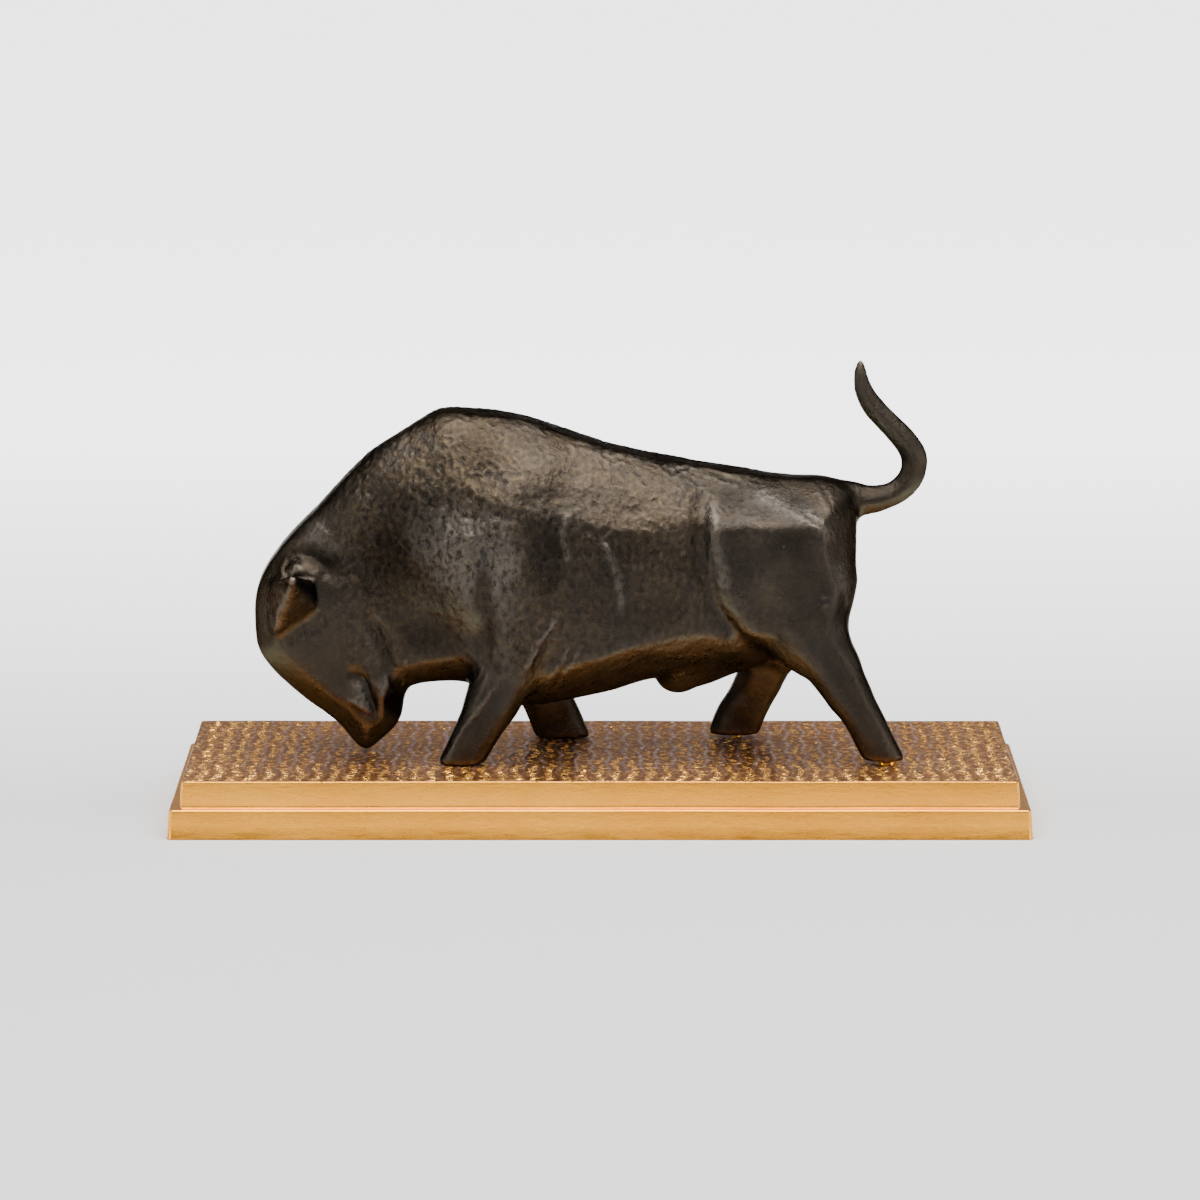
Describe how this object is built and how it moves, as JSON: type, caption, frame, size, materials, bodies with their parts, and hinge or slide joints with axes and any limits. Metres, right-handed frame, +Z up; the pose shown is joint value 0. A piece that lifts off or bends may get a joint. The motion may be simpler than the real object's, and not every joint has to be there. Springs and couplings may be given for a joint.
{
  "type": "bull sculpture",
  "caption": "Cast bull with lowered head, high shoulder hump and raised tail, walking on a stepped rectangular plinth with a chiselled top; stands free as an ornament.",
  "frame": {"origin": "middle of the plinth's underside, at the bottom centre of the whole object's box", "axes": "+Z up, +X from the bull's head to its tail along the plinth's length, -Y towards the side that the bull shows to the viewer"},
  "size_m": [0.311, 0.12, 0.1659],
  "materials": {
    "dark_bronze": "dark brown-black patina, satin, with a fine leathery casting texture",
    "antique_gold": "antique gold, satin on the sides, chiselled on top"
  },
  "bodies": {
    "root": {"bull": "dark_bronze", "plinth": "antique_gold"}
  },
  "joints": []
}
